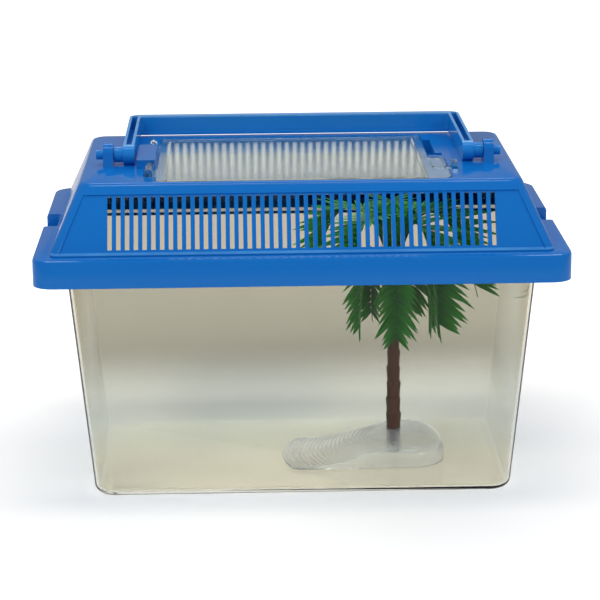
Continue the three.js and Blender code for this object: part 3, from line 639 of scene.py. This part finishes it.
# a pointed blade with a crease, drooping from its root on the midrib
def addLeaflet(bm, stations, leaflet, share):
    look, blade = palmLook, bladeShape
    side = leaflet["side"]
    spot, ahead = stationAt(stations, leaflet["root"])
    up = sideways.cross(ahead)
    grid = bmesh.ops.create_grid(bm, x_segments=blade["along"], y_segments=blade["across"], size=0.5)
    for vert in grid["verts"]:
        along = vert.co.x + 0.5
        across = 2.0 * vert.co.y * side
        swell = blade["rootWidth"] + blade["widening"] * min(along, blade["widestAt"])
        width = look["leafletHalfWidth"] * swell * (1.0 - along ** blade["taper"]) ** blade["roundness"]
        width = max(width, blade["leastWidth"])
        out = along * leaflet["size"]
        droop = leaflet["fold"] * out * (blade["droop"] + blade["tipDroop"] * along)
        lean = leaflet["sweep"] * out * (blade["lean"] + blade["tipLean"] * along)
        vert.co = (spot + sideways * side * (look["ribRadius"] * blade["rootInset"] + out)
                   + ahead * (lean + across * width) - up * (droop + look["crease"] * abs(across) * width))
        vert[share] = along
    return grid["verts"]


def frondRun(spec, tip):
    look = palmLook
    flat = [(look["rootShare"] * look["collarRadius"], 0.0)]
    flat += [(out * spec["reach"], up * spec["rise"]) for out, up in (*spec["run"], tip)]
    middle = spec["collar"] + look["collarHeight"] / 2
    return evenStations([Vector((out, 0.0, middle + up)) for out, up in flat], look["ribSteps"])


def turnFrond(bm, verts, azimuth):
    place = Matrix.Translation((*palmPlace, 0.0))
    bmesh.ops.transform(bm, matrix=place @ Matrix.Rotation(azimuth, 4, "Z"), verts=verts)


def addLeaflets(bm, spec, tip, azimuth, share):
    look = palmLook
    stations, length = frondRun(spec, tip)
    stem = look["stemShare"]
    count = int(length * (1.0 - stem) / spec["pitch"])
    sizes = look["sizes"]
    vary = random.Random(look["seed"] + round(math.degrees(azimuth)))
    for leaflet in range(count):
        place = leaflet / (count - 1) * (len(sizes) - 1)  # size read between the listed ones
        k = min(int(place), len(sizes) - 2)
        size = spec["leafletReach"] * (sizes[k] + (sizes[k + 1] - sizes[k]) * (place - k))
        root = stem + (look["lastRootShare"] - stem) * leaflet / count
        for side in (1, -1):
            uneven = [1.0 + look["uneven"] * vary.uniform(-1.0, 1.0) for _ in range(3)]
            leafletSpec = {"root": root, "side": side, "size": size * uneven[0],
                           "sweep": look["sweep"] * uneven[1], "fold": spec["fold"] * uneven[2]}
            turnFrond(bm, addLeaflet(bm, stations, leafletSpec, share), azimuth)


def addCollar(bm, foot):
    look = palmLook
    inner, outer, edge = look["bore"], look["collarRadius"], look["collarEdge"]
    top = foot + look["collarHeight"]
    outline = [(inner, foot), (outer - edge, foot), (outer, foot + edge), (outer, top - edge),
               (outer - edge, top), (inner, top)]
    spinOutline(bm, outline, look["collarSides"], closed=True)


# leaves that would stand higher than the lid allows lie over instead
def bendUnderLid(bm):
    easing = palmLook["easing"]
    start = palmLook["ceiling"] - easing
    for vert in bm.verts:
        over = vert.co.z - start
        if over > 0.0:
            vert.co.z = start + easing * math.tanh(over / easing)


def whorlPiece(name, spec, node):
    bm = bmesh.new()
    share = bm.verts.layers.float.new("bladeShare")
    apart = 360 / len(spec["tips"])
    fronds = [(tip, math.radians(spec["turn"] + number * apart)) for number, tip in enumerate(spec["tips"])]
    for tip, azimuth in fronds:
        addLeaflets(bm, spec, tip, azimuth, share)
    bmesh.ops.solidify(bm, geom=bm.faces[:], thickness=palmLook["thickness"])
    for tip, azimuth in fronds:
        turnFrond(bm, addMidrib(bm, frondRun(spec, tip)[0], share), azimuth)
    addCollar(bm, spec["collar"])
    bendUnderLid(bm)
    bmesh.ops.remove_doubles(bm, verts=bm.verts, dist=weld)
    bmesh.ops.holes_fill(bm, edges=bm.edges, sides=8)  # the open ends of the midribs
    bmesh.ops.recalc_face_normals(bm, faces=bm.faces)
    shadeSmooth(bm, palmLook["sharp"])
    finishPiece(name, bm, greenLeaf, "island", node)


whorlPiece("upperFronds", upperWhorl, "upper_frond_whorl")
whorlPiece("lowerFronds", lowerWhorl, "lower_frond_whorl")

# trunk with staggered leaf scars: each ring swells up to its scar and draws in above it
pegLength = 9  # in millimetres, as the trunk's box is
trunkFoot = (trunkLow[2] + pegLength) * mm
trunkShape = {
    "foot": trunkFoot, "height": lowerWhorl["collar"] - palmLook["seat"] - trunkFoot, "rings": 10,
    "footRadius": 4.5 * mm, "topRadius": 3.1 * mm, "shoulder": 0.5 * mm,
    "peg": 2.3 * mm, "pegFoot": trunkLow[2] * mm, "spindle": 1.5 * mm, "spindleTop": trunkHigh[2] * mm,
    "rise": 0.5225 * mm, "dip": 0.45, "swell": 1.6, "rows": 7, "scarShare": 0.86, "neckShare": 0.95,
    "neck": 0.1 * mm, "scarsRound": 5, "lobe": 0.16, "lobeMiddle": 0.75, "lobeEnd": 0.9, "draw": 0.02,
    "lobeLift": 0.10, "sides": 40,
}
# spike of young leaves folded together
spikeShape = {
    "foot": spikeFoot, "socket": 5 * mm, "length": 30 * mm, "bore": 1.8 * mm, "radius": 2.2 * mm,
    "taper": 1.7 * mm, "bend": 1.3, "tip": 0.45 * mm, "rows": 8, "sides": 28,
    "folds": 4, "twist": 40.0, "full": 0.96, "foldDepth": 0.03,
    "plainRadius": 1.9 * mm, "plainHeight": 6.1 * mm,  # the socket stays round below and inside these
}
spunSharp = 42  # degrees


def spunPiece(name, outline, node, sides, shaping):
    bm = bmesh.new()
    spinOutline(bm, outline, sides, closed=False)
    bmesh.ops.remove_doubles(bm, verts=bm.verts, dist=weld)
    bmesh.ops.recalc_face_normals(bm, faces=bm.faces)
    for vert in bm.verts:
        vert.co = shaping(vert.co, Vector((*palmPlace, 0.0)))
    shadeSmooth(bm, spunSharp)
    finishPiece(name, bm, brownTrunk, "island", node)


def trunkOutline():
    look = trunkShape
    span = look["height"] / look["rings"]
    outline = [(0.0, look["pegFoot"]), (look["peg"], look["pegFoot"]), (look["peg"], look["foot"])]
    for ring in range(look["rings"]):
        radius = look["footRadius"] + (look["topRadius"] - look["footRadius"]) * ring / (look["rings"] - 1)
        level = look["foot"] + ring * span
        for row in range(look["rows"]):
            part = row / (look["rows"] - 1)
            swell = part ** look["swell"] - look["dip"]
            outline.append((radius + look["rise"] * swell, level + span * look["scarShare"] * part))
        outline.append((radius - look["neck"], level + span * look["neckShare"]))
    top = look["foot"] + look["height"]
    outline += [(look["topRadius"] - look["shoulder"], top), (look["spindle"], top),
                (look["spindle"], look["spindleTop"]), (0.0, look["spindleTop"])]
    return outline


# leaf bases bulge in turn round the trunk, each ring half a step on from the last
def leafScars(at, middle):
    look = trunkShape
    rel = at.z - look["foot"]
    if rel <= 0.0 or rel >= look["height"]:
        return at
    span = look["height"] / look["rings"]
    ring, part = int(rel / span), (rel / span) % 1.0
    away = Vector((at.x - middle.x, at.y - middle.y, 0.0))
    angle = math.atan2(away.y, away.x) + (ring % 2) * math.pi / look["scarsRound"]
    lobe = abs(math.cos(angle * look["scarsRound"] / 2)) - look["lobeMiddle"]
    grown = away * (1.0 + look["lobe"] * lobe * min(part, look["lobeEnd"]) - look["draw"])
    return Vector((middle.x + grown.x, middle.y + grown.y, at.z + span * look["lobeLift"] * lobe * part))


def spikeOutline():
    look = spikeShape
    foot, shoulder, end = look["foot"], look["foot"] + look["socket"], look["foot"] + look["length"]
    outline = [(look["bore"], shoulder), (look["bore"], foot), (look["radius"], foot)]
    for row in range(look["rows"] + 1):
        part = row / look["rows"]
        radius = look["radius"] - look["taper"] * part ** look["bend"]
        outline.append((radius, shoulder + (look["length"] - look["socket"]) * part))
    return outline + [(0.0, end + look["tip"]), (0.0, shoulder), (look["bore"], shoulder)]


# folds of the young leaves run up the spike
def spikeFolds(at, middle):
    look = spikeShape
    away = Vector((at.x - middle.x, at.y - middle.y, 0.0))
    if away.length <= look["plainRadius"] and at.z <= look["foot"] + look["plainHeight"]:
        return Vector((middle.x + away.x, middle.y + away.y, at.z))
    angle = math.atan2(away.y, away.x) + look["twist"] * at.z
    grown = away * (look["full"] + look["foldDepth"] * math.cos(angle * look["folds"]))
    return Vector((middle.x + grown.x, middle.y + grown.y, at.z))


spunPiece("palmTrunk", trunkOutline(), "palm_trunk", trunkShape["sides"], leafScars)
spunPiece("crownSpike", spikeOutline(), "crown_spike", spikeShape["sides"], spikeFolds)
print("palm made")


# floor, room, lamps and camera
stageLook = {
    "floorHalf": 9.0, "floorDrop": 0.2 * mm,
    "floorColour": (0.92, 0.92, 0.92, 1.0), "white": (1.0, 1.0, 1.0, 1.0),
    "lift": 0.14, "farLift": 0.50, "near": 0.14, "far": 0.45,  # the floor glows more further out
    "sky": 0.55, "dim": 0.30,  # the room as it lights, and as gloss mirrors it
}


# where the camera looks straight at a surface, or sees it through the clear plastic
def addSeen(tree, path):
    seen = addNode(tree, "ShaderNodeMath", operation="MAXIMUM")
    link(tree, path, "Is Camera Ray", seen, 0)
    link(tree, path, "Is Transmission Ray", seen, 1)
    return seen


def paleFloor():
    look = stageLook
    material, tree, output = newMaterial("paleFloor")
    seen = addSeen(tree, addNode(tree, "ShaderNodeLightPath"))
    place = addNode(tree, "ShaderNodeTexCoord")
    away = addNode(tree, "ShaderNodeVectorMath", operation="LENGTH")
    link(tree, place, "Object", away, 0)
    fade = addRange(tree, away, "Value", (look["near"], look["far"]), (look["lift"], look["farLift"]),
                    "SMOOTHSTEP")
    lift = addNode(tree, "ShaderNodeMath", operation="MULTIPLY")
    link(tree, seen, 0, lift, 0)
    link(tree, fade, 0, lift, 1)
    shader = addNode(tree, "ShaderNodeBsdfPrincipled", {
        "Base Color": look["floorColour"], "Roughness": 1.0, "Specular IOR Level": 0.0,
        "Emission Color": look["white"],
    })
    link(tree, lift, 0, shader, "Emission Strength")
    link(tree, shader, 0, output, 0)
    return material


def addFloor():
    bm = bmesh.new()
    bmesh.ops.create_grid(bm, x_segments=1, y_segments=1, size=stageLook["floorHalf"])
    mesh = bpy.data.meshes.new("floor")
    bm.to_mesh(mesh)
    bm.free()
    floor = bpy.data.objects.new("floor", mesh)
    bpy.context.scene.collection.objects.link(floor)
    floor.location.z = -stageLook["floorDrop"]
    mesh.materials.append(paleFloor())


def addWorld():
    world = bpy.data.worlds.new("studio")
    bpy.context.scene.world = world
    world.use_nodes = True
    tree = world.node_tree
    tree.nodes.clear()
    output = tree.nodes.new("ShaderNodeOutputWorld")
    path = addNode(tree, "ShaderNodeLightPath")
    sky = addRange(tree, path, "Is Glossy Ray", toSpan=(stageLook["sky"], stageLook["dim"]))
    strength = addRange(tree, addSeen(tree, path), 0)  # white where it is seen, and the sky elsewhere
    link(tree, sky, 0, strength, "To Min")
    background = addNode(tree, "ShaderNodeBackground", {"Color": stageLook["white"]})
    link(tree, strength, 0, background, "Strength")
    link(tree, background, 0, output, 0)


lampAim = Vector((0.0, 0.0, 0.1))
lamps = {
    "key": {"place": (-0.9, -1.2, 1.5), "size": (0.35, 0.35), "power": 8.0},
    "fill": {"place": (1.3, -0.9, 1.2), "size": (0.35, 0.35), "power": 4.5},
    "back": {"place": (0.1, 1.2, 1.5), "size": (1.2, 0.2), "power": 5.0},
    "top": {"place": (0.0, -0.2, 1.9), "size": (1.0, 0.4), "power": 7.0},
}


def addLamps():
    for name, spec in lamps.items():
        data = bpy.data.lights.new(name, "AREA")
        data.shape = "RECTANGLE"
        data.size, data.size_y = spec["size"]
        data.energy = spec["power"]
        lamp = bpy.data.objects.new(name, data)
        lamp.location = spec["place"]
        aim = lampAim - lamp.location
        lamp.rotation_euler = aim.to_track_quat("-Z", "Y").to_euler()
        bpy.context.scene.collection.objects.link(lamp)


# the photograph's view: place in metres, turns in degrees, lens and sensor in millimetres
view = {
    "place": (-0.03358, -1.36771, 0.45346), "yaw": 1.43, "pitch": 14.57, "roll": -0.46,
    "lens": 142.16, "sensor": 36.0,
}


def addCamera():
    data = bpy.data.cameras.new("camera")
    data.lens = view["lens"]
    data.sensor_width = view["sensor"]
    camera = bpy.data.objects.new("camera", data)
    turn = Matrix.Rotation(-math.radians(view["yaw"]), 4, "Z")
    tilt = Matrix.Rotation(math.radians(90.0 - view["pitch"]), 4, "X")
    roll = Matrix.Rotation(math.radians(view["roll"]), 4, "Z")
    camera.matrix_world = Matrix.Translation(view["place"]) @ turn @ tilt @ roll
    bpy.context.scene.collection.objects.link(camera)
    bpy.context.scene.camera = camera


addFloor()
addWorld()
addLamps()
addCamera()
bpy.context.scene.view_settings.view_transform = "Standard"
print("stage set")
